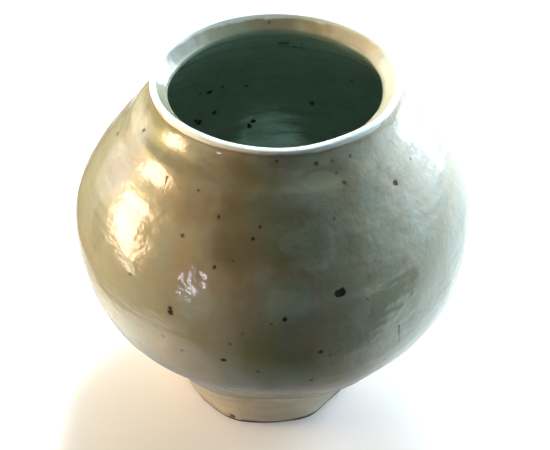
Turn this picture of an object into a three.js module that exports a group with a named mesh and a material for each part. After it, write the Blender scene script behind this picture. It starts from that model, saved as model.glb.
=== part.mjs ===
// A wide-mouthed ceramic jar, thrown in sections and luted together with slip.
// Millimetres, +Z up. The origin is on the table, under the axis of the bowls.
// From the floor up: foot ring, lower bowl, upper bowl and mouth ring, with a slip joint between each pair.
import * as THREE from "three";

// Foot: a cone that carries the bowls, set a little off their axis, as it was luted on by hand.
const footContactRadius = 46;
const footFlare = 9.5;
const footHeight = 23;
const footRingWidth = 9;
const footBoreTaper = 3;
const footOuterBevel = 1.6;
const footInnerBevel = 1.2;
const footOffset = -2.8;
const footBlendHeight = 12;

// Outer wall of the lower bowl, from the foot joint up to the belly.
const bowlOverFoot = 2;
const bellyRadius = 100;
const bellyRise = 83;
const lowerFlare = 27;
const lowerRise = 38;
const lowerFullness = 42;

// Outer wall of the upper bowl, from the belly over the shoulder to the neck.
const shoulderOverNeck = 9.9;
const shoulderRise = 62;
const shoulderFullness = 27;
const shoulderSpread = 14.2;
const shoulderDrop = 20;
const neckRadius = 59;
const neckLength = 13;
const neckSpread = 5;
const neckBend = 3;

// Lip: rounded at its crest and at the throat, with a straight slope between them. Angles are in degrees.
const lipOverhang = 1.4;
const lipRise = 5.6;
const lipRound = 1.6;
const lipUndersideAngle = -60;
const lipSlope = 45;
const lipWidth = 8.6;
const throatDrop = 6.9;
const throatRound = 1.6;

// Walls.
const floorThickness = 10;
const floorFilletHeight = 13;
const floorFilletWidth = 20;
const lowerWall = 9;
const bellyWall = 7.4;
const neckWall = 5.2;

// Slip joints. The coil inside the belly joint stands off the two bowls by coilGap.
const footLuteThickness = 1;
const bellySeamDrop = 12;
const bellyLuteThickness = 1.4;
const coilWidth = 9;
const coilDepth = 1.8;
const coilGap = 0.3;
const neckSeamDrop = 8;
const neckLuteThickness = 1;

// Facets: around the jar, along a fine curve, up a wall and round a small arc.
const segments = 64;
const curveSteps = 80;
const wallSteps = 10;
const neckSteps = 3;
const arcSteps = 6;

const slipColour = 0x9a9379;
const glazeColour = 0xa5a183;
const lipColour = 0xc3cbb8;
const clayColour = 0x8f8468;

// A closed outline in (radius, height) turned about the jar's axis, with +Z up and its lower end moved to the foot.
function thrown(name, outline, color, roughness) {
  const points = outline.map(([r, z]) => new THREE.Vector2(r, z));
  const geometry = new THREE.LatheGeometry(points, segments);
  geometry.rotateX(Math.PI / 2);
  const position = geometry.attributes.position;
  for (let i = 0; i < position.count; i++) {
    position.setX(i, position.getX(i) + axisShift(position.getZ(i)));
  }
  geometry.computeVertexNormals();
  const material = new THREE.MeshStandardMaterial({ color, roughness, metalness: 0 });
  const mesh = new THREE.Mesh(geometry, material);
  mesh.name = name;
  return mesh;
}

// How far the section at this height stands from the bowls' axis: the foot's offset, fading out above it.
function axisShift(z) {
  return footOffset * (1 - THREE.MathUtils.smoothstep(z, footHeight, footHeight + footBlendHeight));
}

// Points of a cubic curve in (radius, height).
function curvePoints(start, startHandle, endHandle, end) {
  const curve = new THREE.CubicBezierCurve(
    new THREE.Vector2(...start),
    new THREE.Vector2(...startHandle),
    new THREE.Vector2(...endHandle),
    new THREE.Vector2(...end),
  );
  return curve.getPoints(curveSteps).map((p) => [p.x, p.y]);
}

// Points on an arc in (radius, height), its angles counted from outward towards up.
function arcPoints(centre, radius, startDegrees, endDegrees) {
  return Array.from({ length: arcSteps + 1 }, (_, i) => {
    const angle = THREE.MathUtils.degToRad(startDegrees + ((endDegrees - startDegrees) * i) / arcSteps);
    return [centre[0] + radius * Math.cos(angle), centre[1] + radius * Math.sin(angle)];
  });
}

// Radii and heights that follow from the sizes above.
const footBoreRadius = footContactRadius - footRingWidth;
const footBoreTopRadius = footBoreRadius - footBoreTaper;
const footTopRadius = footContactRadius + footFlare;
const bowlBaseRadius = footTopRadius + bowlOverFoot;
const bowlBaseHeight = footHeight + footLuteThickness;
const floorHeight = bowlBaseHeight + floorThickness;
const bellyHeight = bowlBaseHeight + bellyRise;
const shoulderRadius = neckRadius + shoulderOverNeck;
const shoulderHeight = bellyHeight + shoulderRise;
const neckHeight = shoulderHeight + neckLength;
const lipRadius = neckRadius + lipOverhang;
const lipHeight = neckHeight + lipRise;
const throatRadius = lipRadius - lipWidth;
const throatHeight = lipHeight - throatDrop;

// Heights of the slip joints' lower and upper faces.
const bellySeamLow = bellyHeight - bellySeamDrop - bellyLuteThickness / 2;
const bellySeamHigh = bellySeamLow + bellyLuteThickness;
const neckSeamLow = neckHeight - neckSeamDrop;
const neckSeamHigh = neckSeamLow + neckLuteThickness;

// The outer wall as a fine line from the foot joint to the neck.
const outerLine = [
  ...curvePoints(
    [bowlBaseRadius, bowlBaseHeight],
    [bowlBaseRadius + lowerFlare, bowlBaseHeight + lowerRise],
    [bellyRadius, bellyHeight - lowerFullness],
    [bellyRadius, bellyHeight],
  ),
  ...curvePoints(
    [bellyRadius, bellyHeight],
    [bellyRadius, bellyHeight + shoulderFullness],
    [shoulderRadius + shoulderSpread, shoulderHeight - shoulderDrop],
    [shoulderRadius, shoulderHeight],
  ).slice(1),
  ...curvePoints(
    [shoulderRadius, shoulderHeight],
    [shoulderRadius - neckSpread, shoulderHeight + neckBend],
    [neckRadius, neckHeight - neckBend],
    [neckRadius, neckHeight],
  ).slice(1),
];

// Radius of a line at a height on it.
function radiusOn(line, height) {
  const above = Math.max(1, line.findIndex(([, z]) => z >= height));
  const [r0, z0] = line[above - 1];
  const [r1, z1] = line[above];
  return THREE.MathUtils.mapLinear(height, z0, z1, r0, r1);
}

// Wall thickness, square to the outer line, at a height on it.
function wallAt(z) {
  if (z < bellyHeight) {
    return THREE.MathUtils.mapLinear(z, bowlBaseHeight, bellyHeight, lowerWall, bellyWall);
  }
  return THREE.MathUtils.mapLinear(z, bellyHeight, neckHeight, bellyWall, neckWall);
}

// The inner wall: each point of the outer line moved in by the wall thickness.
const innerLine = [];
for (let i = 1; i < outerLine.length - 1; i++) {
  const along = new THREE.Vector2(
    outerLine[i + 1][0] - outerLine[i - 1][0],
    outerLine[i + 1][1] - outerLine[i - 1][1],
  ).normalize();
  const [r, z] = outerLine[i];
  const wall = wallAt(z);
  const point = [r - along.y * wall, z + along.x * wall];
  const last = innerLine.at(-1);
  if (!last || point[1] > last[1]) innerLine.push(point);
}

// Points on a line at evenly spaced heights, from low to high.
function wallPoints(line, low, high, steps) {
  return Array.from({ length: steps + 1 }, (_, i) => {
    const z = low + ((high - low) * i) / steps;
    return [radiusOn(line, z), z];
  });
}

// Foot ring, its flat top under the first slip joint and its flat underside on the table.
function footRing() {
  const outline = [
    [footBoreRadius + footInnerBevel, 0],
    [footContactRadius - footOuterBevel, 0],
    [footContactRadius, footOuterBevel],
    [footTopRadius, footHeight],
    [footBoreTopRadius, footHeight],
    [footBoreRadius, footInnerBevel],
    [footBoreRadius + footInnerBevel, 0],
  ];
  return thrown("foot_ring", outline, clayColour, 0.7);
}

function footLute() {
  const outline = [
    [footBoreTopRadius, footHeight],
    [footTopRadius, footHeight],
    [bowlBaseRadius, bowlBaseHeight],
    [footBoreTopRadius, bowlBaseHeight],
    [footBoreTopRadius, footHeight],
  ];
  return thrown("foot_lute", outline, slipColour, 0.75);
}

// Lower bowl: the floor, a fillet and the wall up to the belly joint.
function lowerBowl() {
  const filletTop = floorHeight + floorFilletHeight;
  const filletRadius = radiusOn(innerLine, filletTop);
  const fillet = new THREE.QuadraticBezierCurve(
    new THREE.Vector2(filletRadius, filletTop),
    new THREE.Vector2(filletRadius - floorFilletHeight, floorHeight),
    new THREE.Vector2(filletRadius - floorFilletHeight - floorFilletWidth, floorHeight),
  );
  const outline = [
    [0, bowlBaseHeight],
    ...wallPoints(outerLine, bowlBaseHeight, bellySeamLow, wallSteps),
    ...wallPoints(innerLine, filletTop, bellySeamLow, wallSteps).reverse(),
    ...fillet.getPoints(arcSteps).slice(1).map((p) => [p.x, p.y]),
    [0, floorHeight],
  ];
  return thrown("lower_bowl", outline, glazeColour, 0.28);
}

// Belly joint: slip between the two rims, and the coil smeared over it inside.
function bellyLute() {
  const middle = (bellySeamLow + bellySeamHigh) / 2;
  const low = middle - coilWidth / 2;
  const high = middle + coilWidth / 2;
  const outline = [
    [radiusOn(outerLine, bellySeamLow), bellySeamLow],
    [radiusOn(outerLine, bellySeamHigh), bellySeamHigh],
    [radiusOn(innerLine, bellySeamHigh) - coilGap, bellySeamHigh],
    [radiusOn(innerLine, high) - coilGap, high],
    [radiusOn(innerLine, middle) - coilDepth, middle],
    [radiusOn(innerLine, low) - coilGap, low],
    [radiusOn(innerLine, bellySeamLow) - coilGap, bellySeamLow],
    [radiusOn(outerLine, bellySeamLow), bellySeamLow],
  ];
  return thrown("belly_lute", outline, slipColour, 0.6);
}

function upperBowl() {
  const outline = [
    ...wallPoints(outerLine, bellySeamHigh, neckSeamLow, wallSteps),
    ...wallPoints(innerLine, bellySeamHigh, neckSeamLow, wallSteps).reverse(),
    [radiusOn(outerLine, bellySeamHigh), bellySeamHigh],
  ];
  return thrown("upper_bowl", outline, glazeColour, 0.28);
}

function neckLute() {
  const outline = [
    [radiusOn(outerLine, neckSeamLow), neckSeamLow],
    [radiusOn(outerLine, neckSeamHigh), neckSeamHigh],
    [radiusOn(innerLine, neckSeamHigh), neckSeamHigh],
    [radiusOn(innerLine, neckSeamLow), neckSeamLow],
    [radiusOn(outerLine, neckSeamLow), neckSeamLow],
  ];
  return thrown("neck_lute", outline, slipColour, 0.6);
}

// Mouth ring: the neck, the everted lip and the slope down to the throat.
function mouthRing() {
  const lipCentre = [lipRadius - lipRound, lipHeight - lipRound];
  const throatCentre = [throatRadius + throatRound, throatHeight];
  const outline = [
    ...wallPoints(outerLine, neckSeamHigh, neckHeight, neckSteps),
    ...arcPoints(lipCentre, lipRound, lipUndersideAngle, 90 + lipSlope),
    ...arcPoints(throatCentre, throatRound, 90 + lipSlope, 180),
    [radiusOn(innerLine, neckSeamHigh), neckSeamHigh],
    [radiusOn(outerLine, neckSeamHigh), neckSeamHigh],
  ];
  return thrown("mouth_ring", outline, lipColour, 0.22);
}

const jar = new THREE.Group();
jar.name = "ceramic_jar";
jar.add(footRing(), footLute(), lowerBowl(), bellyLute(), upperBowl(), neckLute(), mouthRing());

export default jar;
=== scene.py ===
import math

import bmesh
import bpy
import numpy as np
from mathutils import Matrix, Vector
from mathutils.geometry import interpolate_bezier


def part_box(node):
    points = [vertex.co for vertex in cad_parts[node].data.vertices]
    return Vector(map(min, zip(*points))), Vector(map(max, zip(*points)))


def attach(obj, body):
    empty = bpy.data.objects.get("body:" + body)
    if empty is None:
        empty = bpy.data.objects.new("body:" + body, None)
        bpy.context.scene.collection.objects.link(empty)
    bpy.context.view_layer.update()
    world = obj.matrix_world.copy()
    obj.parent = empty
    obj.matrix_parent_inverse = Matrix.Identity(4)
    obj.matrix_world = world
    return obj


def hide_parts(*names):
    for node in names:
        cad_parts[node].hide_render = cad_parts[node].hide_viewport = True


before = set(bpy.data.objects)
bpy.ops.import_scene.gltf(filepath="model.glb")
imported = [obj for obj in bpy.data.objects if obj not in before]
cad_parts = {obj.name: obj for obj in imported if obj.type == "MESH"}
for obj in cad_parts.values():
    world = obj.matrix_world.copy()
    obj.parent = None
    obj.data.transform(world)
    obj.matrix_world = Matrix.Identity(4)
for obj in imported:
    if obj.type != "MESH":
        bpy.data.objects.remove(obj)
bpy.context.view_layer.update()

mm = 0.001
lineGap = 0.05  # points of a line that are nearer than this, in millimetres, are one
mergeGap = 0.00001
sharpAngle = math.radians(30)
top = {name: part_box(name)[1].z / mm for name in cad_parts}
low = {name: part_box(name)[0].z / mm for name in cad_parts}


# Lines are rows of (radius, height) in millimetres. A curve here is about 8% longer than the straight way.
def curve(start, startHandle, endHandle, end, step):
    knots = [Vector((r, z, 0)) for r, z in (start, startHandle, endHandle, end)]
    count = max(3, round((knots[3] - knots[0]).length * 1.08 / step) + 1)
    return [(p.x, p.y) for p in interpolate_bezier(*knots, count)]


def straight(start, end, step):
    count = max(1, math.ceil(math.dist(start, end) / step))
    return [tuple(a + (b - a) * i / count for a, b in zip(start, end)) for i in range(count + 1)]


def arc(centre, radius, fromDegrees, toDegrees, count):
    turns = [math.radians(fromDegrees + (toDegrees - fromDegrees) * i / count) for i in range(count + 1)]
    return [(centre[0] + radius * math.cos(t), centre[1] + radius * math.sin(t)) for t in turns]


def radiusOn(line, height):
    for (r0, z0), (r1, z1) in zip(line, line[1:]):
        if z0 <= height <= z1:
            return r0 + (r1 - r0) * (height - z0) / (z1 - z0)
    return line[-1][0]


def pointOn(line, height):
    return radiusOn(line, height), height


# The stretch of a line between two heights, thinned until its points lie about a step apart.
def between(line, lowest, highest, step):
    points = [pointOn(line, lowest)]
    for r, z in line:
        if lowest < z < highest - step / 3 and math.dist((r, z), points[-1]) >= step * 0.97:
            points.append((r, z))
    return points + [pointOn(line, highest)]


# The line of the two bowls up to the neck, with the reach of its curves' handles, and the wall's thickness.
jarLine = {
    "base": 57.5, "baseFlare": 27, "baseRise": 38,
    "belly": 100, "bellyHeight": 107, "fullBelow": 42, "fullAbove": 27,
    "shoulder": 68.9, "shoulderHeight": 169, "shoulderSpread": 14.2, "shoulderDrop": 20,
    "neck": 59, "neckHeight": 182, "neckSpread": 5, "neckRise": 3,
    "baseWall": 9, "bellyWall": 7.4, "neckWall": 5.2,
    "lineStep": 0.3, "edgeStep": 2,
}


def outerLine(j):
    base = (j["base"], low["lower_bowl"])
    belly = (j["belly"], j["bellyHeight"])
    shoulder = (j["shoulder"], j["shoulderHeight"])
    neck = (j["neck"], j["neckHeight"])
    lower = curve(base, (base[0] + j["baseFlare"], base[1] + j["baseRise"]),
                  (belly[0], belly[1] - j["fullBelow"]), belly, j["lineStep"])
    upper = curve(belly, (belly[0], belly[1] + j["fullAbove"]),
                  (shoulder[0] + j["shoulderSpread"], shoulder[1] - j["shoulderDrop"]),
                  shoulder, j["lineStep"])
    collar = curve(shoulder, (shoulder[0] - j["neckSpread"], shoulder[1] + j["neckRise"]),
                   (neck[0], neck[1] - j["neckRise"]), neck, j["lineStep"])
    return lower + upper[1:] + collar[1:]


def innerLine(j, line):
    heights = (low["lower_bowl"], j["bellyHeight"], j["neckHeight"])
    walls = (j["baseWall"], j["bellyWall"], j["neckWall"])
    points = []
    for before, (r, z), after in zip(line, line[1:], line[2:]):
        along = Vector((after[0] - before[0], after[1] - before[1])).normalized()
        wall = np.interp(z, heights, walls)
        point = (r - along.y * wall, z + along.x * wall)
        if not points or point[1] > points[-1][1]:
            points.append(point)
    return points


outer = outerLine(jarLine)
inner = innerLine(jarLine, outer)


# The cut edge of a bowl from the outside in, without its two corners.
def cutEdge(height):
    return straight(pointOn(outer, height), pointOn(inner, height), jarLine["edgeStep"])[1:-1]


# How the clay left the potter's hands, in millimetres and degrees. A sag, corner or swell is its turn, its
# width in degrees and its depth. A pair is where something starts and ends, as heights or as radii.
handWork = {
    "footShift": -2.8, "footBlend": (23, 35), "mouthShift": 1.2, "mouthBlend": (110, 180),
    "wallRadii": (20, 42), "wallHeights": (1, 16), "footHeights": (22, 26),
    "stepTilt": 0.045, "stepSwells": ((-86, 26, 4.5),), "swellRadii": (36, 50), "stepStart": (4, 20),
    "stepEnd": (30, 62),
    "mouthTilt": 0.008, "lipWave": 0.2, "lipSags": ((-97, 32, 1.6), (-55, 16, -0.3), (90, 40, -0.7)),
    "lipHeights": (160, 184),
    "footCorners": ((-113, 12, 1.7067), (-63, 13, 1.7067), (-90, 30, 1.0667), (-42, 15, -1.28)),
    "cornerHeights": (2, 18),
    "dentSize": 75, "dentDepth": 0.3, "smallDentSize": 26, "smallDentDepth": 0.08,
    "dimpleSize": 11, "dimpleDepth": 0.022,
    "ringPitch": 13.5, "ringDepth": 0.1, "ringHeight": 169.5, "leftRingDepth": 0.2, "leftTurn": -130,
    "leftWidth": 34, "boldHeights": (138, 158), "ringEnd": (176, 184),
    "finePitch": 5.6, "fineDepth": 0.035, "fineStart": (30, 45), "fineFade": (150, 170),
    "insidePitch": 9.5, "insideDepth": 0.17, "unevenSize": 48,
    "footPitch": 2.6, "footDepth": 0.07, "footGrainSize": 16, "wrinkleSize": 6.0,
}

# Pits and bumps on the wall: turn, height, radius and depth.
pits = {
    "largeIronPit": (-71.8, 129.2, 2.2, 0.35),
    "leftIronPit": (-118.5, 115.4, 1.6, 0.25),
    "rightIronPit": (-43.0, 161.2, 1.6, 0.25),
    "footChip": (-113, 3.5, 2.6, 1.1),
    "lipNick": (-152, 186.0, 1.8, 0.5),
    "shoulderBlister": (-163, 128, 6.0, -0.25),
}

# Where the glaze has crept into small wrinkles: turn, height, reach and depth.
crinkles = [(-114, 131, 12, 0.12), (-91, 130, 15, 0.06), (-52, 105, 13, 0.08), (-60, 150, 22, 0.02),
            (-128, 150, 30, 0.02)]


def easeUp(value, start, end):
    t = np.clip((value - start) / (end - start), 0, 1)
    return t * t * (3 - 2 * t)


def hump(away, width):
    return np.exp(-((away / width) ** 2))


def degreesFrom(turn, degrees):
    return np.abs((np.degrees(turn) - degrees + 180) % 360 - 180)


def softNoise(points, size, seed, waves=16):
    draw = np.random.default_rng(seed)
    total = np.zeros(len(points))
    for _ in range(waves):
        way = draw.normal(size=3)
        way *= draw.uniform(0.6, 1.4) / np.linalg.norm(way)
        total += np.sin(points @ way * (2 * math.pi / size) + draw.uniform(0, 2 * math.pi))
    return total / math.sqrt(waves / 2)


# The potter's fingers climb one pitch for each turn of the wheel.
def rings(height, turn, pitch, start):
    return np.sin(2 * math.pi * ((height - start) / pitch + turn / (2 * math.pi)) + math.pi)


def wallPoint(turn, height, line):
    angle = math.radians(turn)
    if height < low["lower_bowl"]:
        radius = footRing["contact"] + (footRing["top"] - footRing["contact"]) * height / top["foot_ring"]
    else:
        radius = radiusOn(line, height)
    return np.array((radius * math.cos(angle), radius * math.sin(angle), height))


# Moves points of the turned jar to where the hand left them. It is one function of place for all the pieces,
# so they meet without a step.
def shapedByHand(points, inside):
    h = handWork
    x, y, z = points.T
    radius = np.hypot(x, y)
    turn = np.arctan2(y, x)
    outside = 1 - inside
    onWall = easeUp(radius, *h["wallRadii"]) * easeUp(z, *h["wallHeights"])
    onFoot = 1 - easeUp(z, *h["footHeights"])
    swell = sum(h[name + "Depth"] * softNoise(points, h[name + "Size"], seed)
                for name, seed in (("dent", 3), ("smallDent", 4), ("dimple", 7)))

    # Bold rings that are deepest at the left, fine ones, and those inside and on the foot.
    bold = h["ringDepth"] + h["leftRingDepth"] * hump(degreesFrom(turn, h["leftTurn"]), h["leftWidth"])
    bold *= (0.25 + 0.75 * easeUp(z, *h["boldHeights"])) * (1 - easeUp(z, *h["ringEnd"]))
    swell += bold * rings(z, turn - math.radians(h["leftTurn"]), h["ringPitch"], h["ringHeight"])
    uneven = 0.75 + 0.35 * softNoise(points * (1, 1, 2), h["unevenSize"], 5)
    fine = h["fineDepth"] * uneven * (1 - 0.7 * easeUp(z, *h["fineFade"])) * easeUp(z, *h["fineStart"])
    swell += fine * rings(z, turn, h["finePitch"], 0)
    swell += inside * h["insideDepth"] * uneven * rings(z, -turn, h["insidePitch"], 0)
    grain = softNoise(points * (1, 1, 4), h["footGrainSize"], 6)
    swell += h["footDepth"] * onFoot * (rings(z, turn, h["footPitch"], 0) + 0.6 * grain)

    for cornerTurn, width, depth in h["footCorners"]:
        swell += depth * hump(degreesFrom(turn, cornerTurn), width) * (1 - easeUp(z, *h["cornerHeights"]))
    for pitTurn, height, size, depth in pits.values():
        away = np.linalg.norm(points - wallPoint(pitTurn, height, outer), axis=1)
        swell -= depth * hump(away, size) * outside
    wrinkles = softNoise(points * (0.9, 0.9, 1.6), h["wrinkleSize"], 8)
    for crinkleTurn, height, reach, depth in crinkles:
        away = np.linalg.norm(points - wallPoint(crinkleTurn, height, outer), axis=1)
        swell += depth * wrinkles * hump(away, reach) * outside
    radius = radius + np.maximum(onWall, onFoot) * swell

    # The foot and the mouth stand off the axis, the lip sags and the step over the foot is uneven.
    shift = h["footShift"] * (1 - easeUp(z, *h["footBlend"])) + h["mouthShift"] * easeUp(z, *h["mouthBlend"])
    lip = h["mouthTilt"] * y + h["lipWave"] * np.sin(3 * turn + 2)
    for sagTurn, width, depth in h["lipSags"]:
        lip -= depth * hump(degreesFrom(turn, sagTurn), width)
    step = -h["stepTilt"] * x
    for swellTurn, width, depth in h["stepSwells"]:
        step += depth * hump(degreesFrom(turn, swellTurn), width) * easeUp(radius, *h["swellRadii"]) * outside
    step *= easeUp(z, *h["stepStart"]) * (1 - easeUp(z, *h["stepEnd"]))
    lift = lip * easeUp(z, *h["lipHeights"]) + step
    return np.stack((radius * np.cos(turn) + shift, radius * np.sin(turn), z + lift), axis=1)


def shapedPoint(turn, height, line, inside):
    return shapedByHand(wallPoint(turn, height, line)[None, :], np.array([inside]))[0]


# Turns the walls of a piece round the axis. Each wall is a line and how far inside the jar it lies, from 0 to
# 1. A piece whose line starts on the axis has no hole at its middle.
def turnedPiece(name, walls, sides):
    points = []
    insides = []
    for line, inside in walls:
        for point in line:
            if not points or math.dist(points[-1], point) > lineGap:
                points.append(point)
                insides.append(inside)
    closed = points[0][0] > 0
    if closed and math.dist(points[-1], points[0]) < lineGap:
        points.pop()
        insides.pop()
    mesh = bmesh.new()
    insideLayer = mesh.verts.layers.float.new("inside")
    for (r, z), inside in zip(points, insides):
        mesh.verts.new((r * mm, 0, z * mm))[insideLayer] = inside
    mesh.verts.ensure_lookup_table()
    for i in range(len(points) - (not closed)):
        mesh.edges.new((mesh.verts[i], mesh.verts[(i + 1) % len(points)]))
    line = bpy.data.meshes.new(name + "_line")
    mesh.to_mesh(line)
    mesh.free()
    piece = bpy.data.objects.new(name, line)
    bpy.context.scene.collection.objects.link(piece)
    lathe = piece.modifiers.new("lathe", "SCREW")
    lathe.steps = lathe.render_steps = sides
    lathe.use_merge_vertices = True
    lathe.merge_threshold = mergeGap
    data = bpy.data.meshes.new_from_object(piece.evaluated_get(bpy.context.evaluated_depsgraph_get()))
    piece.modifiers.clear()
    piece.data = data
    data.name = name
    mesh = bmesh.new()
    mesh.from_mesh(data)
    bmesh.ops.remove_doubles(mesh, verts=mesh.verts, dist=mergeGap)
    bmesh.ops.recalc_face_normals(mesh, faces=mesh.faces)
    mesh.to_mesh(data)
    mesh.free()
    return piece


def thrownPiece(name, walls, node, sides):
    piece = turnedPiece(name, walls, sides)
    data = piece.data
    places = np.empty(len(data.vertices) * 3)
    data.vertices.foreach_get("co", places)
    inside = np.empty(len(data.vertices))
    data.attributes["inside"].data.foreach_get("value", inside)
    places = shapedByHand(places.reshape(-1, 3) / mm, inside) * mm
    data.vertices.foreach_set("co", places.ravel())
    data.update()
    data.shade_smooth()
    data.set_sharp_from_angle(angle=sharpAngle)
    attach(piece, "root")
    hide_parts(node)
    print(name, len(data.polygons), "faces")
    return piece


# In the pieces' own dictionaries a step is how far apart points lie, and parts are how many an arc has.
footRing = {
    "contact": 46, "top": 55.5, "bore": 37, "boreTop": 34,
    "outerBevel": 1.6, "bevelEnd": -22, "bevelParts": 6, "innerBevel": 1.2,
    "outsideStep": 1.1, "faceStep": 2, "topStep": 3,
}


def footWalls(f):
    height = top["foot_ring"]
    bevel = (f["contact"] - f["outerBevel"], f["outerBevel"])
    boreEdge = (f["bore"] + f["innerBevel"], 0)
    return [
        (straight(boreEdge, (bevel[0], 0), f["faceStep"]), 0),
        (arc(bevel, f["outerBevel"], -90, f["bevelEnd"], f["bevelParts"]), 0),
        (straight((f["contact"], f["outerBevel"]), (f["top"], height), f["outsideStep"]), 0),
        (straight((f["top"], height), (f["boreTop"], height), f["topStep"]), 0),
        (straight((f["boreTop"], height), (f["bore"], f["innerBevel"]), f["faceStep"]), 0),
        (straight((f["bore"], f["innerBevel"]), boreEdge, f["faceStep"]), 0)]


def footSlipWalls(f):
    base, rim = top["foot_ring"], low["lower_bowl"]
    return [
        ([(f["top"], base), (jarLine["base"], rim)], 0),
        (straight((jarLine["base"], rim), (f["boreTop"], rim), f["topStep"]), 0),
        (straight((f["boreTop"], base), (f["top"], base), f["topStep"]), 0)]


lowerBowl = {
    "floorThickness": 10, "filletHeight": 13, "filletWidth": 20,
    "outsideStep": 1.15, "insideStep": 1.8, "filletStep": 2, "floorStep": 3, "undersideStep": 4,
}


def lowerWalls(b):
    base, rim = low["lower_bowl"], top["lower_bowl"]
    floor = base + b["floorThickness"]
    filletTop = pointOn(inner, floor + b["filletHeight"])
    corner = filletTop[0] - b["filletHeight"]
    flat = corner - b["filletWidth"]
    fillet = curve(filletTop, (corner + b["filletHeight"] / 3, floor + b["filletHeight"] / 3),
                   (corner - b["filletWidth"] / 3, floor), (flat, floor), b["filletStep"])
    return [
        (straight((0, base), (jarLine["base"], base), b["undersideStep"]), 0),
        (between(outer, base, rim, b["outsideStep"]), 0),
        (cutEdge(rim), 0.5),
        (between(inner, filletTop[1], rim, b["insideStep"])[::-1], 1),
        (fillet, 1),
        (straight((flat, floor), (0, floor), b["floorStep"]), 1)]


# The coil of slip that was smeared over the belly's joint from the inside.
bellyCoil = {"width": 9, "depth": 1.8, "lean": 1, "roundness": 2, "step": 0.7, "besideStep": 1}


def bellySlipWalls(c):
    base, rim = top["lower_bowl"], low["upper_bowl"]
    middle = (base + rim) / 2
    lowEdge = middle - c["width"] / 2
    highEdge = middle + c["width"] / 2
    crest = (radiusOn(inner, middle) - c["depth"], middle)
    upper = curve(pointOn(inner, highEdge), (crest[0] + c["lean"], highEdge - c["roundness"]),
                  (crest[0], middle + c["roundness"]), crest, c["step"])
    lower = curve(crest, (crest[0], middle - c["roundness"]),
                  (crest[0] + c["lean"], lowEdge + c["roundness"]), pointOn(inner, lowEdge), c["step"])
    return [
        ([pointOn(outer, base), pointOn(outer, rim)], 0),
        (between(inner, rim, highEdge, c["besideStep"]), 1),
        (upper, 1),
        (lower, 1),
        (between(inner, lowEdge, base, c["besideStep"]), 1)]


upperBowl = {"outsideStep": 1.1, "insideStep": 1.6}


def upperWalls(b):
    base, rim = low["upper_bowl"], top["upper_bowl"]
    return [
        (between(outer, base, rim, b["outsideStep"]), 0),
        (cutEdge(rim), 0.5),
        (between(inner, base, rim, b["insideStep"])[::-1], 1),
        (cutEdge(base)[::-1], 0.5)]


def neckSlipWalls():
    base, rim = top["upper_bowl"], low["mouth_ring"]
    return [
        ([pointOn(outer, base), pointOn(outer, rim)], 0),
        ([pointOn(inner, rim), pointOn(inner, base)], 1)]


# The lip's top is tilted outwards and its slope leads down to the throat.
mouthRing = {
    "overhang": 1.4, "lipRound": 0.95, "underside": -60, "slope": 45, "lipWidth": 8.6,
    "topWidth": 3.0, "topTilt": 16, "innerRound": 0.8, "throatRound": 1.6, "throatDrop": 6.9,
    "throatHandle": 2, "wallHandle": (-1, 1.5),
    "outsideStep": 0.8, "lipStep": 0.6, "lipParts": 14, "innerParts": 7, "throatParts": 8,
}


def mouthWalls(m):
    base, crest = low["mouth_ring"], top["mouth_ring"]
    neck = (jarLine["neck"], jarLine["neckHeight"])
    edge = neck[0] + m["overhang"]
    tilt = math.radians(m["topTilt"])
    innerCentre = (edge - m["topWidth"] + m["innerRound"], crest - m["innerRound"])
    drop = (edge - m["lipRound"] - innerCentre[0]) * math.tan(tilt)
    drop += (m["lipRound"] - m["innerRound"]) / math.cos(tilt)
    centre = (edge - m["lipRound"], innerCentre[1] - drop)
    throat = (edge - m["lipWidth"] + m["throatRound"], crest - m["throatDrop"])
    slope = 90 + m["slope"]
    flat = 90 - m["topTilt"]
    lip = (arc(centre, m["lipRound"], m["underside"], flat, m["lipParts"])
           + arc(innerCentre, m["innerRound"], flat, slope, m["innerParts"]))
    inside = arc(throat, m["throatRound"], slope, 180, m["throatParts"])
    wall = pointOn(inner, base)
    downWall = curve(inside[-1], (inside[-1][0], inside[-1][1] - m["throatHandle"]),
                     (wall[0] + m["wallHandle"][0], wall[1] + m["wallHandle"][1]), wall, m["lipStep"])
    return [
        (between(outer, base, neck[1], m["outsideStep"]), 0),
        (straight(neck, lip[0], m["lipStep"]), 0),
        (lip, 0),
        (straight(lip[-1], inside[0], m["lipStep"]), 0.3),
        (inside, 0.7),
        (downWall, 1),
        (cutEdge(base)[::-1], 0.5)]


footSides = 460
bowlSides = 540
pieces = {
    "foot": thrownPiece("turned_foot", footWalls(footRing), "foot_ring", footSides),
    "footSlip": thrownPiece("foot_slip", footSlipWalls(footRing), "foot_lute", footSides),
    "lower": thrownPiece("glazed_lower_bowl", lowerWalls(lowerBowl), "lower_bowl", bowlSides),
    "bellySlip": thrownPiece("belly_slip", bellySlipWalls(bellyCoil), "belly_lute", bowlSides),
    "upper": thrownPiece("glazed_upper_bowl", upperWalls(upperBowl), "upper_bowl", bowlSides),
    "neckSlip": thrownPiece("neck_slip", neckSlipWalls(), "neck_lute", bowlSides),
    "mouth": thrownPiece("glazed_mouth", mouthWalls(mouthRing), "mouth_ring", bowlSides),
}
print("pieces:", len(pieces))


def rgba(value):
    return value if isinstance(value, Wire) else (*value, 1)


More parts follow.
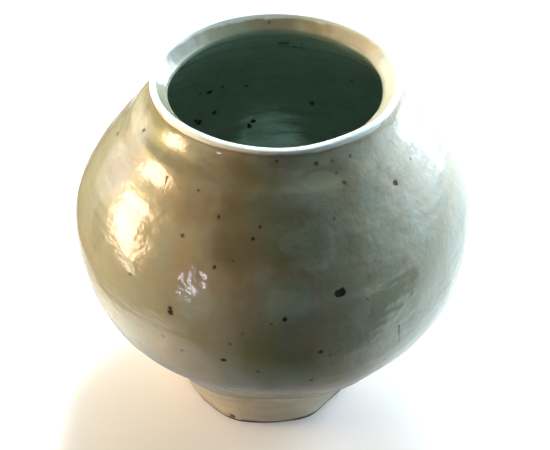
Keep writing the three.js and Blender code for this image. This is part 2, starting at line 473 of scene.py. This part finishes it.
# A socket of a material's node tree, so that shader maths reads as plain expressions.
class Wire:
    def __init__(self, tree, socket=None):
        self.tree = tree
        self.socket = socket

    def node(self, kind, settings=None, inputs=None, output=0):
        made = self.tree.nodes.new(kind)
        for name, value in (settings or {}).items():
            setattr(made, name, value)
        for name, value in (inputs or {}).items():
            if isinstance(value, Wire):
                self.tree.links.new(value.socket, made.inputs[name])
            else:
                made.inputs[name].default_value = value
        return Wire(self.tree, None if output is None else made.outputs[output])

    def into(self, shader, name):
        self.tree.links.new(self.socket, shader.inputs[name])

    def maths(self, operation, *values):
        return self.node("ShaderNodeMath", {"operation": operation}, dict(enumerate(values)))

    def __add__(self, other):
        return self.maths("ADD", self, other)

    def __sub__(self, other):
        return self.maths("SUBTRACT", self, other)

    def __rsub__(self, other):
        return self.maths("SUBTRACT", other, self)

    def __mul__(self, other):
        return self.maths("MULTIPLY", self, other)

    __radd__ = __add__
    __rmul__ = __mul__

    def most(self, other):
        return self.maths("MAXIMUM", self, other)

    def least(self, other):
        return self.maths("MINIMUM", self, other)

    # Rises from 0 at the start to 1 at the end.
    def ease(self, start, end):
        return self.node("ShaderNodeMapRange", {"interpolation_type": "SMOOTHSTEP"},
                         {0: self, 1: start, 2: end, 3: 0.0, 4: 1.0})

    # The same for a place or a distance, with the start and end in millimetres.
    def easeAt(self, start, end):
        return self.ease(start * mm, end * mm)

    def noise(self, scale, detail=2.0, roughness=0.5, warp=0.0, output=0):
        return self.node("ShaderNodeTexNoise", {}, {"Vector": self, "Scale": scale, "Detail": detail,
                                                    "Roughness": roughness, "Distortion": warp}, output)

    def vector(self, operation, *values, output=0):
        return self.node("ShaderNodeVectorMath", {"operation": operation},
                         dict(enumerate((self, *values))), output)

    def upright(self, share):
        return self.vector("MULTIPLY", (1, 1, share))

    def distance(self, place):
        return self.vector("DISTANCE", tuple(place), output="Value")

    def along(self, axis):
        return self.node("ShaderNodeSeparateXYZ", {}, {"Vector": self}, axis)

    # Sockets 6 and 7 and output 2 are a Mix node's colours.
    def mixed(self, first, second, amount, way="MIX"):
        return self.node("ShaderNodeMix", {"data_type": "RGBA", "blend_type": way},
                         {0: amount, 6: rgba(first), 7: rgba(second)}, 2)

    def colour(self, other, amount):
        return self.mixed(self, other, amount)

    def tint(self, other, amount):
        return self.mixed(self, other, amount, "MULTIPLY")

    def choose(self, first, second):
        return self.node("ShaderNodeMixShader", {}, {0: self, 1: first, 2: second})


def placeOn(start):
    return start.node("ShaderNodeTexCoord", output="Object")


def startMaterial(name):
    material = bpy.data.materials.new(name)
    material.use_nodes = True
    shader = material.node_tree.nodes["Principled BSDF"]
    start = Wire(material.node_tree)
    return material, shader, start, placeOn(start)


def roughen(relief, depth, shader):
    bump = relief.node("ShaderNodeBump", {}, {"Height": relief, "Strength": 1.0, "Distance": depth * mm})
    bump.into(shader, "Normal")


# Is 1 near a point of the jar and 0 away from it. The fade's start and end are in millimetres.
def nearTo(place, point, fade, wobble=None):
    away = place.distance(point * mm)
    if wobble:
        away = away + wobble
    return 1 - away.easeAt(*fade)


# Iron specks: turn, height, radius and darkness. The first ones are where the photographed side has them, and
# the loose ones are strewn over the rest.
outerSpecks = [
    (-72.3, 129.1, 2.2, 1.0), (-71.3, 129.3, 2.25, 1.0), (-118.5, 116.5, 1.4, 0.95),
    (-118.4, 114.4, 1.7, 0.95), (-119.7, 148.0, 1.2, 0.95), (-97.0, 152.2, 1.15, 0.95),
    (-95.0, 156.4, 0.85, 0.9), (-107.5, 139.9, 1.1, 0.85), (-89.8, 181.0, 1.0, 0.6),
    (-72.7, 178.3, 1.2, 0.55), (-65.5, 177.6, 0.8, 0.5), (-57.0, 177.2, 0.9, 0.6),
    (-65.0, 172.7, 0.8, 0.4), (-63.3, 169.2, 1.1, 0.4), (-43.0, 161.2, 1.8, 0.95), (-30.2, 164.5, 0.9, 0.7),
    (-174.8, 158.8, 1.4, 0.7), (-160.2, 171.3, 1.3, 0.6), (-119.3, 165.5, 0.8, 0.7),
    (-109.5, 157.8, 1.0, 0.7),
    (-133.0, 123.7, 0.9, 0.5), (-102.5, 143.3, 0.7, 0.6), (-70.2, 157.4, 0.9, 0.5), (-64.2, 123.2, 0.8, 0.4),
    (-87.0, 119.7, 1.4, 0.9), (-90.5, 117.3, 0.7, 0.6), (-77.5, 99.0, 1.3, 0.95), (-74.7, 95.4, 0.8, 0.5),
    (-103.5, 92.8, 1.6, 1.0), (-94.2, 87.2, 0.9, 0.7), (-79.5, 78.2, 1.2, 0.7), (-83.8, 64.3, 1.1, 0.8),
    (-55.5, 68.1, 1.4, 0.8), (-56.5, 78.2, 1.0, 0.7), (-115.5, 92.8, 0.9, 0.6), (-121.0, 98.1, 0.8, 0.5),
    (-98.2, 111.0, 0.7, 0.5), (-101.5, 103.9, 0.8, 0.5), (-152, 185.4, 1.9, 0.7), (-36, 185.2, 1.8, 0.55),
]
looseSpecks = {
    "seed": 21, "count": 44, "turns": (-20, 170), "heights": (34, 176), "radii": (0.6, 1.7), "smaller": 1.5,
    "darkness": (0.5, 1),
}
innerSpecks = [
    (113.5, 126.2, 1.8, 0.9), (99.9, 126.2, 1.2, 0.8), (108.7, 128.1, 1.0, 0.6), (117.0, 126.7, 1.1, 0.6),
    (111.0, 110.0, 1.4, 0.7), (117.0, 106.0, 1.9, 0.9), (118.2, 107.8, 1.3, 0.8), (98.7, 97.7, 1.9, 0.95),
    (97.3, 100.4, 1.6, 0.85), (100.9, 95.3, 1.2, 0.7), (76.7, 113.3, 1.5, 0.7), (87.2, 170.2, 1.9, 0.6),
    (84.6, 170.4, 1.8, 0.6), (81.0, 167.2, 1.1, 0.4), (79.2, 166.6, 1.6, 0.6), (77.4, 166.0, 1.7, 0.7),
    (75.6, 165.9, 1.5, 0.6), (93.5, 185.6, 2.1, 0.4), (77.0, 170.8, 1.0, 0.35), (60, 140, 1.0, 0.8),
    (10, 120, 1.2, 0.8), (-40, 130, 1.4, 0.8), (-100, 110, 1.1, 0.8), (-150, 90, 1.5, 0.8),
    (150, 70, 1.0, 0.8),
]

# Hairline cracks from one turn and height to another. Each is a row of dots that overlap and get smaller.
cracks = [(-133.9, 165.3, -133.1, 159.6), (-54.2, 100.9, -53.1, 88.6)]
crackLook = {"dots": 17, "radius": 0.75, "thinner": 0.3, "darkness": 0.9}


def speckPlaces(lowest, highest):
    draw = np.random.default_rng(looseSpecks["seed"])
    outerOnes = list(outerSpecks)
    for _ in range(looseSpecks["count"]):
        turn = draw.uniform(*looseSpecks["turns"])
        height = draw.uniform(*looseSpecks["heights"])
        radius = draw.uniform(*looseSpecks["radii"]) ** looseSpecks["smaller"]
        outerOnes.append((turn, height, radius, draw.uniform(*looseSpecks["darkness"])))
    for turn, height, endTurn, endHeight in cracks:
        for share in np.linspace(0, 1, crackLook["dots"]):
            outerOnes.append((turn + (endTurn - turn) * share, height + (endHeight - height) * share,
                              crackLook["radius"] - crackLook["thinner"] * share, crackLook["darkness"]))
    return [(shapedPoint(turn, height, line, inside) * mm, radius * mm, dark)
            for specks, line, inside in ((outerOnes, outer, 0.0), (innerSpecks, inner, 1.0))
            for turn, height, radius, dark in specks
            if lowest - speckShape["margin"] < height < highest + speckShape["margin"]]


# A speck's soft edge and its uneven outline, in millimetres. It is looked for a margin past its piece's ends.
speckShape = {"edge": 0.45, "full": 0.9, "wobble": 1.6, "wobbleNoise": (900.0, 1.0), "margin": 4}


# Is 1 inside a dark speck, 0 at its edge and less than 0 outside it.
def speckMask(place, lowest, highest):
    wobble = place.noise(*speckShape["wobbleNoise"], output="Color").vector("SUBTRACT", (0.5, 0.5, 0.5))
    moved = wobble.vector("MULTIPLY_ADD", (speckShape["wobble"] * mm,) * 3, place)
    mask = None
    for point, radius, dark in speckPlaces(lowest, highest):
        depth = speckShape["full"] * radius - moved.distance(point)
        spot = (depth * (1 / (speckShape["edge"] * mm))).least(dark)
        mask = spot if mask is None else mask.most(spot)
    return mask


# Noises are scale, detail, roughness and warp. Pairs are where something starts and ends. A patch is its
# turn, its height, its reach in millimetres and the colour that it multiplies by. On the outside these are
# the glaze's own tones with painted light and shade among them: painted shade over the upper front, painted
# light lower down, a warm painted reflection above the foot and small pale painted highlights on the front's
# wrinkles. The inside's bright swirl low on the wall is painted light.
glazeLook = {
    "greyGreen": (0.32, 0.34, 0.25), "tan": (0.345, 0.312, 0.205), "cool": (0.298, 0.338, 0.283),
    "clouds": (15.0, 4.0, 0.55, 0.4), "tanClouds": (0.42, 0.66),
    "washes": (46.0, 2.0, 0.5), "washUpright": 0.35, "coolWashes": (0.5, 0.72), "coolShare": 0.65,
    "tonesAndPaintedLight": (
        (-90, 46, 22, (1.55, 1.1, 0.72)), (-15, 150, 45, (1.12, 1.2, 1.4)),
        (-95, 154, 31, (0.64, 0.62, 0.53)), (-74, 144, 22, (0.92, 0.94, 0.95)),
        (-60, 143, 13, (0.88, 0.88, 0.84)), (-90, 127, 17, (1.15, 1.32, 1.36)),
        (-110, 126, 16, (1.12, 1.25, 1.5)), (-90, 96, 28, (0.72, 0.83, 0.66)),
        (-113, 85, 18, (1.15, 1.1, 1.15)), (-118, 164, 22, (0.97, 0.86, 0.80)),
        (-148, 183, 13, (0.86, 0.88, 0.74)), (-103, 172, 9, (1.2, 1.16, 1.16)),
        (-79, 148, 9, (1.22, 1.26, 1.38)), (-55, 118, 11, (0.91, 0.89, 0.89)),
        (-50, 169, 11, (1.2, 1.26, 1.28)), (-50, 139, 10, (1.16, 1.1, 1.12)),
        (-25, 136, 11, (1.12, 1.06, 1.12)), (-50, 103, 9, (1.05, 1.1, 1.1)),
        (-68, 40, 12, (1.15, 1.22, 1.34)), (-106, 42, 10, (1.2, 1.14, 1.0)),
        (-158, 157, 14, (1.0, 1.03, 1.3)), (-136, 128, 9, (1.06, 1.12, 1.35)),
        (-134, 88, 16, (1.1, 1.2, 1.3)), (-152, 143, 18, (1.0, 1.05, 1.25)),
        (-131, 138, 13, (0.86, 0.85, 0.80)), (-92.6, 134.5, 3.2, (1.35, 1.4, 1.4)),
        (-92, 126.5, 3.6, (1.3, 1.35, 1.35)), (-90, 121, 4, (1.2, 1.25, 1.25)),
        (-150, 133, 10, (0.88, 0.86, 0.82)), (-93, 171, 16, (0.99, 1.04, 1.06)),
        (-110, 149, 14, (0.9, 0.92, 0.97)), (-63, 120, 13, (1.15, 1.15, 1.12)),
        (-75, 172, 11, (1.2, 1.24, 1.2))),
    "patchFade": (0.45, 1.15), "patchWobble": 50,
    "mottle": (260.0, 2.0), "plainValue": 0.82, "mottleValue": 0.16, "washValue": 0.2,
    "smear": (0.20, 0.14, 0.08), "smears": (55.0, 4.0, 0.65), "smearUpright": 4, "smearStart": (0.5, 0.7),
    "smearHeights": (145, 170), "smearShare": 0.4,
    "deep": (0.305, 0.41, 0.345), "deepStart": (0.4, 0.9),
    "insidePaintedLight": (
        (92, 87, 26, (2.3, 2.3, 2.7)), (84, 93, 9, (1.25, 1.25, 1.3)), (96, 92, 6, (0.8, 0.8, 0.8))),
    "insideFade": (0.3, 1.0), "insideWobble": 30,
    "shade": (0.8, 0.8, 0.8), "shadeStart": (0.45, 0.65), "shadeShare": 0.5,
    "halo": (0.23, 0.17, 0.09), "haloEdge": (-1.2, 0.2), "haloShare": 0.6,
    "dustScale": 300.0, "dustSize": (0.08, 0.2), "dustPlaces": (70.0, 1.0), "dustStart": (0.62, 0.7),
    "dustShare": 0.5,
    "speck": (0.008, 0.006, 0.003), "speckEdge": (0.0, 0.85),
    "swell": (110.0, 2.0), "swellShare": 1.3, "peel": (300.0, 2.0, 0.5), "peelShare": 0.6,
    "streaks": (70.0, 3.0, 0.6), "streakUpright": 3.5, "streakShare": 0.8, "sunkSpecks": 0.3,
    "reliefDepth": 0.24,
    "roughness": 0.1, "dullWashes": (0.4, 0.7), "dullWashShare": 0.05, "dullSpecks": 0.45, "ior": 1.52,
}


# The glaze of one piece, whose specks lie between two heights. The mouth's has a pale lip over it.
def glazeMaterial(name, lowest, highest, pale=None):
    look = glazeLook
    material, shader, start, place = startMaterial(name)
    height = place.along("Z")
    inside = start.node("ShaderNodeAttribute", {"attribute_name": "inside"}, output="Fac")
    clouds = place.noise(*look["clouds"])
    washes = place.upright(look["washUpright"]).noise(*look["washes"])
    smears = place.upright(look["smearUpright"]).noise(*look["smears"])

    # The outside.
    base = start.mixed(look["greyGreen"], look["tan"], clouds.ease(*look["tanClouds"]))
    base = base.colour(look["cool"], washes.ease(*look["coolWashes"]) * look["coolShare"])
    wobble = (washes + clouds - 1) * (look["patchWobble"] * mm)
    # Tones of the glaze, with painted shade, painted light and painted highlights among them.
    for turn, level, reach, hue in look["tonesAndPaintedLight"]:
        fade = [reach * share for share in look["patchFade"]]
        base = base.tint(hue, nearTo(place, wallPoint(turn, level, outer), fade, wobble))
    mottle = place.noise(*look["mottle"])
    value = look["plainValue"] + mottle * look["mottleValue"] + washes * look["washValue"]
    base = base.node("ShaderNodeHueSaturation", {}, {"Color": base, "Value": value})
    smeared = smears.ease(*look["smearStart"]) * height.easeAt(*look["smearHeights"]) * look["smearShare"]
    base = base.colour(look["smear"], smeared)

    # The inside starts from one plain colour.
    deep = base.colour(look["deep"], 1.0)
    wobble = (smears - 0.5) * (look["insideWobble"] * mm)
    # Painted light: a bright swirl low on the inner wall.
    for turn, level, reach, hue in look["insidePaintedLight"]:
        fade = [reach * share for share in look["insideFade"]]
        deep = deep.tint(hue, nearTo(place, wallPoint(turn, level, inner), fade, wobble))
    deep = deep.tint(look["shade"], smears.ease(*look["shadeStart"]) * look["shadeShare"])
    base = base.colour(deep, inside.ease(*look["deepStart"]))
    if pale:
        base = pale(base, place, inside)

    # Iron dust, and the specks with their halos.
    specks = speckMask(place, lowest, highest)
    dust = place.node("ShaderNodeTexVoronoi", {}, {"Vector": place, "Scale": look["dustScale"]}, "Distance")
    few = place.noise(*look["dustPlaces"]).ease(*look["dustStart"])
    base = base.colour(look["halo"], (1 - dust.ease(*look["dustSize"])) * few * look["dustShare"])
    base = base.colour(look["halo"], specks.ease(*look["haloEdge"]) * look["haloShare"])
    base = base.colour(look["speck"], specks.ease(*look["speckEdge"]))
    base.into(shader, "Base Color")

    sunk = specks.ease(0.0, 1.0)
    streaks = place.upright(look["streakUpright"]).noise(*look["streaks"])
    relief = place.noise(*look["swell"]) * look["swellShare"] + place.noise(*look["peel"]) * look["peelShare"]
    relief = relief + streaks * look["streakShare"] - sunk * look["sunkSpecks"]
    roughen(relief, look["reliefDepth"], shader)
    dull = washes.ease(*look["dullWashes"]) * look["dullWashShare"] + sunk * look["dullSpecks"]
    (look["roughness"] + dull).into(shader, "Roughness")
    shader.inputs["IOR"].default_value = look["ior"]
    return material


# The lip is pale where the glaze ran off it, with a painted highlight over its crest, and painted shade,
# brown, in the groove below. Its tones, the glaze's own with painted light and shade among them, cover what
# is under them, and its heights are in millimetres.
lipLook = {
    "uneven": (120.0, 2.0), "unevenHeight": 1.6,
    "slope": (0.27, 0.29, 0.21), "slopeHeights": (180.8, 183.5), "slopeInside": (0.15, 0.3),
    "tonesAndPaintedLight": (
        (40, 184, 30, (0.52, 0.48, 0.35)), (62, 184, 22, (0.54, 0.50, 0.36)),
        (68, 184, 13, (0.36, 0.32, 0.19)), (2, 184, 30, (0.60, 0.66, 0.60)),
        (90, 184, 18, (0.25, 0.235, 0.145)), (94, 185, 3.5, (0.20, 0.12, 0.05)),
        (150, 184, 22, (0.15, 0.17, 0.135)), (-30, 184, 40, (0.6, 0.64, 0.55))),
    "patchFade": (0.3, 1.0), "patchWobble": 20,
    "grooveShade": (0.36, 0.22, 0.09), "grooveStart": (180.6, 182), "grooveEnd": (182.8, 184),
    "grooveNoise": (60.0, 3.0), "grooveUpright": 0.3, "grooveGaps": (0.4, 0.62), "grooveInside": (0.1, 0.3),
    "grooveShare": 0.2, "leftPlace": (-135, 182), "leftFade": (30, 60), "leftShare": 0.6,
    "white": (0.82, 0.93, 0.91), "whiteHeights": (182.2, 183.8), "whiteInside": (0.02, 0.28),
    "crest": (-1.3, -0.1), "crestHighlightShare": 0.5,
}


def paleLip(base, place, inside):
    look = lipLook
    uneven = place.noise(*look["uneven"]) - 0.5
    height = place.along("Z") + uneven * (look["unevenHeight"] * mm)
    slope = base.colour(look["slope"], 1.0)
    wobble = uneven * (look["patchWobble"] * mm)
    # The slope's tones, with painted warm light at the right back and painted shade at the back among them.
    for turn, level, reach, hue in look["tonesAndPaintedLight"]:
        fade = [reach * share for share in look["patchFade"]]
        slope = slope.colour(hue, nearTo(place, wallPoint(turn, level, outer), fade, wobble))
    onSlope = height.easeAt(*look["slopeHeights"]) * inside.ease(*look["slopeInside"])
    base = base.colour(slope, onSlope)

    # Painted shade, brown, in the groove under the lip, strongest at the left.
    groove = height.easeAt(*look["grooveStart"]) * (1 - height.easeAt(*look["grooveEnd"]))
    gaps = place.upright(look["grooveUpright"]).noise(*look["grooveNoise"])
    groove = groove * gaps.ease(*look["grooveGaps"]) * (1 - inside.ease(*look["grooveInside"]))
    left = nearTo(place, wallPoint(*look["leftPlace"], outer), look["leftFade"])
    base = base.colour(look["grooveShade"], groove * (look["grooveShare"] + left * look["leftShare"]))

    # The white also reaches over the crest as a painted highlight.
    crest = [top["mouth_ring"] + past for past in look["crest"]]
    white = (1 - inside.ease(*look["whiteInside"])).most(height.easeAt(*crest) * look["crestHighlightShare"])
    return base.colour(look["white"], height.easeAt(*look["whiteHeights"]) * white)


# The foot's thin glaze stops at an uneven edge above the bare clay, in millimetres.
footLook = {
    "glaze": (0.55, 0.50, 0.37), "thin": (0.49, 0.44, 0.30), "clay": (0.07, 0.045, 0.025),
    "streaks": (40.0, 4.0, 0.6), "streakUpright": 5, "thinStreaks": (0.4, 0.65),
    "grit": (700.0, 2.0, 0.6), "plainValue": 0.86, "gritValue": 0.28,
    "rightPlace": (-52, 2), "rightFade": (8, 30), "rightTint": (1.03, 1.14, 1.25), "rightDrop": 1.2,
    "edgeNoise": (90.0, 2.0), "edgeUneven": 3.0, "bareEdge": (1.4, 3.0), "chipFade": (1.0, 2.4),
    "streakRelief": 0.5, "gritRelief": 1.2, "smoothEdge": (1.0, 3.0), "reliefDepth": 0.2,
    "clayRoughness": 0.75, "glossEdge": (0.8, 3.0), "gloss": 0.5,
}


def footMaterial():
    look = footLook
    material, shader, start, place = startMaterial("foot_glaze")
    streaks = place.upright(look["streakUpright"]).noise(*look["streaks"])
    grit = place.noise(*look["grit"])
    right = nearTo(place, wallPoint(*look["rightPlace"], outer), look["rightFade"])
    edge = place.along("Z") + (place.noise(*look["edgeNoise"]) - 0.5) * (look["edgeUneven"] * mm)
    edge = edge - right * (look["rightDrop"] * mm)
    chip = nearTo(place, shapedPoint(*pits["footChip"][:2], outer, 0.0), look["chipFade"])
    bare = (1 - edge.easeAt(*look["bareEdge"])).most(chip)
    base = start.mixed(look["glaze"], look["thin"], streaks.ease(*look["thinStreaks"]))
    base = base.tint(look["rightTint"], right).colour(look["clay"], bare)
    value = look["plainValue"] + grit * look["gritValue"]
    base = base.node("ShaderNodeHueSaturation", {}, {"Color": base, "Value": value})
    base.into(shader, "Base Color")
    relief = streaks * look["streakRelief"] + grit * (look["gritRelief"] - edge.easeAt(*look["smoothEdge"]))
    roughen(relief, look["reliefDepth"], shader)
    rough = look["clayRoughness"] - edge.easeAt(*look["glossEdge"]) * look["gloss"]
    rough.into(shader, "Roughness")
    return material


def dress(piece, material):
    piece.data.materials.clear()
    piece.data.materials.append(material)


lowGlaze = glazeMaterial("glaze_low", low["lower_bowl"], top["lower_bowl"])
highGlaze = glazeMaterial("glaze_high", low["upper_bowl"], top["upper_bowl"])
lipGlaze = glazeMaterial("glaze_lip", low["mouth_ring"], top["mouth_ring"], paleLip)
footGlaze = footMaterial()
dress(pieces["lower"], lowGlaze)
dress(pieces["bellySlip"], lowGlaze)
dress(pieces["upper"], highGlaze)
dress(pieces["neckSlip"], highGlaze)
dress(pieces["mouth"], lipGlaze)
dress(pieces["foot"], footGlaze)
dress(pieces["footSlip"], footGlaze)
print("materials:", len(bpy.data.materials))


# The studio. Directions are degrees round from the camera's side towards the right, and degrees up. The glaze
# mirrors the floor as a glowing sheet: painted shade under the jar, painted light beside it, brightest at the
# far right, and cut off at the left. Its pairs are metres from the middle.
studio = {
    "floorHalf": 4.0, "floorColour": (0.62, 0.61, 0.60), "floorGlow": 0.205,
    "sheetGlow": 1.5, "sheetShade": 0.24, "sheetBeside": 0.67, "besideFrom": (0.06, 0.12),
    "rightWay": (1, 0.8, 0), "rightFrom": (0.25, 0.42), "leftEdge": (-0.19, -0.172),
    "world": (0.02, 0.025, 0.025), "white": (1, 1, 1), "black": (0, 0, 0),
    "wallRadius": 1.35, "wallHeight": 1.3, "wallFrom": 100, "wallTo": 256, "wallSteps": 48,
    "wallColour": (0.2, 0.2, 0.2), "wallLeft": (0.85, 0.76, 0.55), "wallRight": (0.95, 1.0, 1.0),
    "wallTurn": (-0.4, 0.6),
    "tableEdge": 0.152, "tableTurn": 6, "tableDepth": 1.6, "tableColour": (0.02, 0.02, 0.02),
    "lampAim": (0, 0, 0.12), "lampSides": 48,
}
# Soft panels: direction and distance, half width and half height, the share of the panel that is fully
# bright, and glow. The two cards lie low at places of their own.
lamps = {
    "warm_softbox": {
        "turn": -88, "rise": 9, "far": 1.0, "size": (0.27, 0.26), "core": 0.45, "glow": (27.5, 19.5, 13.2)},
    "warm_wall": {
        "turn": -92, "rise": 13, "far": 1.1, "size": (0.65, 0.55), "core": 0.0, "glow": (10.0, 7.2, 3.2)},
    "warm_back": {
        "turn": -128, "rise": 15, "far": 1.2, "size": (0.5, 0.5), "core": 0.0, "glow": (5.0, 4.4, 3.6)},
    "cool_window": {
        "turn": 107, "rise": 22, "far": 1.25, "size": (1.5, 0.94), "core": 0.0, "glow": (4.2, 4.9, 5.4)},
    "cool_back": {
        "turn": 139, "rise": 11, "far": 1.1, "size": (0.58, 0.55), "core": 0.0, "glow": (16, 18, 21.5)},
    "cool_fill": {
        "turn": 68, "rise": 18, "far": 1.2, "size": (0.5, 0.6), "core": 0.0, "glow": (1.1, 1.5, 1.5)},
    "back_flash": {
        "turn": 171, "rise": 54, "far": 1.3, "size": (0.08, 0.08), "core": 0.8, "glow": (200, 205, 205)},
    "back_low": {
        "turn": 180, "rise": 20, "far": 1.2, "size": (0.7, 0.45), "core": 0.0, "glow": (9, 9, 7)},
    "overhead": {
        "turn": 180, "rise": 65, "far": 1.4, "size": (0.5, 0.5), "core": 0.0, "glow": (7.5, 8.5, 8.5)},
    "right_card": {
        "place": (0.225, -0.005, 0.004), "size": (0.19, 0.18), "core": 0.6, "glow": (1.5, 1.7, 1.8)},
    "left_card": {
        "place": (-0.142, -0.05, 0.004), "size": (0.04, 0.1), "core": 0.5, "glow": (1.7, 1.6, 1.5)},
    "warm_low": {
        "turn": -76, "rise": -6.8, "far": 0.55, "size": (0.075, 0.032), "core": 0.3, "glow": (14, 12, 9)},
    "violet_strip": {
        "turn": -43, "rise": 3, "far": 1.0, "size": (0.035, 0.22), "core": 0.5, "glow": (15, 14, 18)},
}


def facing(turn, rise, far):
    t = math.radians(turn)
    u = math.radians(rise)
    return Vector((math.sin(t) * math.cos(u), -math.cos(t) * math.cos(u), math.sin(u))) * far


def stagePiece(name, mesh, material):
    data = bpy.data.meshes.new(name)
    mesh.to_mesh(data)
    mesh.free()
    made = bpy.data.objects.new(name, data)
    data.materials.append(material)
    bpy.context.scene.collection.objects.link(made)
    return made


def stageMaterial(name):
    material = bpy.data.materials.new(name)
    material.use_nodes = True
    material.node_tree.nodes.clear()
    return material, Wire(material.node_tree)


def finishStage(start, surface):
    start.node("ShaderNodeOutputMaterial", {}, {"Surface": surface}, None)


# Is 1 for rays of one kind, such as those of the camera.
def rays(start, kind):
    return start.node("ShaderNodeLightPath", output="Is " + kind + " Ray")


def plainGlow(start, colour, strength=1.0):
    return start.node("ShaderNodeEmission", {}, {"Color": rgba(colour), "Strength": strength})


def matte(start, colour):
    return start.node("ShaderNodeBsdfDiffuse", {}, {"Color": rgba(colour)})


def floorMaterial():
    s = studio
    material, start = stageMaterial("pale_floor")
    place = placeOn(start)
    across = place.along("X")
    beside = across.maths("ABSOLUTE", across).ease(*s["besideFrom"])
    farRight = place.vector("DOT_PRODUCT", s["rightWay"], output="Value").ease(*s["rightFrom"])
    # What glossy rays see of the floor is a painted glow: painted shade near the jar, painted light beside it
    # and at the far right.
    mirrored = s["sheetShade"] + beside * (s["sheetBeside"] - s["sheetShade"])
    mirrored = (mirrored + farRight * (1 - s["sheetBeside"])) * across.ease(*s["leftEdge"])
    sheet = mirrored.choose(plainGlow(start, s["black"]), plainGlow(start, s["white"], s["sheetGlow"]))
    lift = plainGlow(start, s["white"], rays(start, "Camera") * s["floorGlow"])
    seen = start.node("ShaderNodeAddShader", {}, {0: matte(start, s["floorColour"]), 1: lift})
    finishStage(start, rays(start, "Glossy").choose(seen, sheet))
    return material


# The camera sees the backdrop white, and the glaze mirrors it warm at the left and cool at the right.
def wallMaterial():
    s = studio
    material, start = stageMaterial("pale_backdrop")
    hue = start.mixed(s["wallLeft"], s["wallRight"], placeOn(start).along("X").ease(*s["wallTurn"]))
    shown = rays(start, "Glossy").choose(matte(start, s["wallColour"]), plainGlow(start, hue))
    finishStage(start, rays(start, "Camera").choose(shown, plainGlow(start, s["white"])))
    return material


def tableMaterial():
    material, start = stageMaterial("dark_reflection_sheet")
    finishStage(start, matte(start, studio["tableColour"]))
    return material


def lampMaterial(name, lamp):
    material, start = stageMaterial(name)
    fade = placeOn(start).distance((0, 0, 0)).ease(lamp["core"], 1.0)
    finishStage(start, fade.choose(plainGlow(start, lamp["glow"]), start.node("ShaderNodeBsdfTransparent")))
    return material


mesh = bmesh.new()
bmesh.ops.create_grid(mesh, x_segments=1, y_segments=1, size=studio["floorHalf"])
stagePiece("floor", mesh, floorMaterial())

mesh = bmesh.new()
wallFoot = mesh.verts.new(facing(studio["wallFrom"], 0, studio["wallRadius"]))
wallHead = mesh.verts.new(wallFoot.co + Vector((0, 0, studio["wallHeight"])))
wallEdge = mesh.edges.new((wallFoot, wallHead))
bmesh.ops.spin(mesh, geom=[wallFoot, wallHead, wallEdge], cent=(0, 0, 0), axis=(0, 0, 1),
               angle=math.radians(studio["wallTo"] - studio["wallFrom"]), steps=studio["wallSteps"])
stagePiece("backdrop", mesh, wallMaterial())

# A dark sheet in front of the jar, which the camera doesn't see and which casts no shadow: painted shade in
# what the glaze mirrors there.
mesh = bmesh.new()
bmesh.ops.create_grid(mesh, x_segments=1, y_segments=1, size=studio["tableDepth"] / 2)
bmesh.ops.translate(mesh, verts=mesh.verts, vec=(0, -studio["tableEdge"] - studio["tableDepth"] / 2, mm))
bmesh.ops.rotate(mesh, verts=mesh.verts, matrix=Matrix.Rotation(math.radians(studio["tableTurn"]), 3, "Z"))
table = stagePiece("dark_table", mesh, tableMaterial())
table.visible_camera = False
table.visible_shadow = False
print("stage: floor, backdrop, table")

for lampName, lamp in lamps.items():
    mesh = bmesh.new()
    bmesh.ops.create_circle(mesh, cap_ends=True, segments=studio["lampSides"], radius=1)
    panel = stagePiece(lampName, mesh, lampMaterial(lampName, lamp))
    if "place" in lamp:
        panel.location = lamp["place"]
        panel.visible_shadow = False
    else:
        aim = Vector(studio["lampAim"])
        panel.location = aim + facing(lamp["turn"], lamp["rise"], lamp["far"])
        panel.rotation_euler = (panel.location - aim).to_track_quat("-Z", "Y").to_euler()
    panel.scale = (*lamp["size"], 1)
    panel.visible_camera = False

world = bpy.data.worlds.new("studio")
bpy.context.scene.world = world
world.use_nodes = True
start = Wire(world.node_tree)
sky = start.mixed(studio["world"], studio["white"], rays(start, "Camera"))
sky.into(world.node_tree.nodes["Background"], "Color")
print("lamps:", len(lamps))


# The camera of the photograph, in degrees, metres and, for the lens, millimetres.
cameraView = {"elevation": 37.8, "distance": 0.7235, "aimHeight": 0.0973, "across": 0.0007, "lens": 91.64}
elevation = math.radians(cameraView["elevation"])
lookAt = Vector((cameraView["across"], 0, cameraView["aimHeight"]))
back = Vector((0, -math.cos(elevation), math.sin(elevation)))
cameraData = bpy.data.cameras.new("camera")
cameraData.lens = cameraView["lens"]
camera = bpy.data.objects.new("camera", cameraData)
camera.location = lookAt + back * cameraView["distance"]
camera.rotation_euler = (-back).to_track_quat("-Z", "Y").to_euler()
bpy.context.scene.collection.objects.link(camera)
bpy.context.scene.camera = camera
bpy.context.scene.view_settings.view_transform = "Standard"
print("camera:", cameraView["elevation"], "degrees up")
